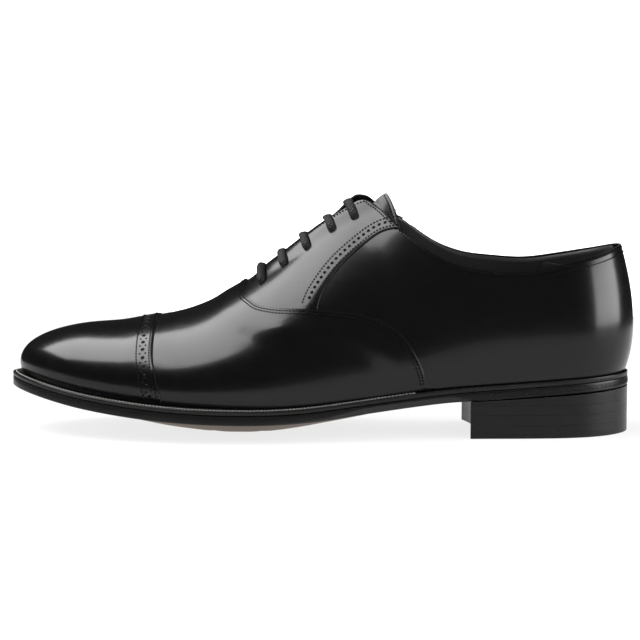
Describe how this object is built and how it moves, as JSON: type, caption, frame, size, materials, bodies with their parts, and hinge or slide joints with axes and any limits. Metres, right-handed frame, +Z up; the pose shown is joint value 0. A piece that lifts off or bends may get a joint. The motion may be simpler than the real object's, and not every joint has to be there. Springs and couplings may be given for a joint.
{
  "type": "leather oxford shoe",
  "caption": "Left lace-up dress shoe with a straight punched toe cap, punched closed facings, a welted leather sole and a stacked heel.",
  "frame": {"origin": "on the ground, below the middle of the shoe's bounding box", "axes": "+X from the toe to the heel, +Y to the inner (medial) side, +Z up"},
  "size_m": [0.3027, 0.0982, 0.1142],
  "materials": {
    "black_calf": "polished black calf",
    "lining_leather": "matt black lining leather",
    "heel_suede": "black suede",
    "stiffener": "unfinished leather board",
    "insole_leather": "vegetable tanned leather",
    "rib_canvas": "glued canvas",
    "cork": "ground cork",
    "steel": "spring steel",
    "sole_leather": "black sole leather with waxed edges",
    "top_piece": "natural leather",
    "heel_rubber": "black rubber",
    "brass": "brass",
    "eyelet_metal": "black enamelled",
    "lace": "waxed black cotton",
    "aglet": "black"
  },
  "bodies": {
    "shoe": {"toe_cap": "black_calf", "vamp": "black_calf", "quarter_lateral": "black_calf", "quarter_medial": "black_calf", "facing_lateral": "black_calf", "facing_medial": "black_calf", "vamp_lining": "lining_leather", "quarter_lining_lateral": "lining_leather", "quarter_lining_medial": "lining_leather", "sock_lining": "lining_leather", "heel_grip": "heel_suede", "toe_puff": "stiffener", "heel_counter": "stiffener", "insole": "insole_leather", "insole_rib": "rib_canvas", "cork_filler": "cork", "shank": "steel", "outsole": "sole_leather", "welt": "sole_leather", "heel_rand": "sole_leather", "heel_lift_1": "sole_leather", "heel_lift_2": "sole_leather", "heel_lift_3": "sole_leather", "top_piece_leather": "top_piece", "top_piece_rubber": "heel_rubber", "heel_nail_1": "brass", "heel_nail_2": "brass", "heel_nail_3": "brass", "heel_nail_4": "brass", "eyelet_lateral_1": "eyelet_metal", "eyelet_lateral_2": "eyelet_metal", "eyelet_lateral_3": "eyelet_metal", "eyelet_lateral_4": "eyelet_metal", "eyelet_lateral_5": "eyelet_metal", "eyelet_medial_1": "eyelet_metal", "eyelet_medial_2": "eyelet_metal", "eyelet_medial_3": "eyelet_metal", "eyelet_medial_4": "eyelet_metal", "eyelet_medial_5": "eyelet_metal", "lace": "lace", "lace_tail_lateral": "lace", "lace_tail_medial": "lace", "aglet_lateral": "aglet", "aglet_medial": "aglet"},
    "tongue": {"tongue": "black_calf"}
  },
  "joints": [
    {"name": "tongue_hinge", "type": "hinge", "parent": "shoe", "child": "tongue", "pos_m": [-0.032, 0.0029, 0.0641], "axis": [0, 1, 0], "range_deg": [0, 25]}
  ]
}
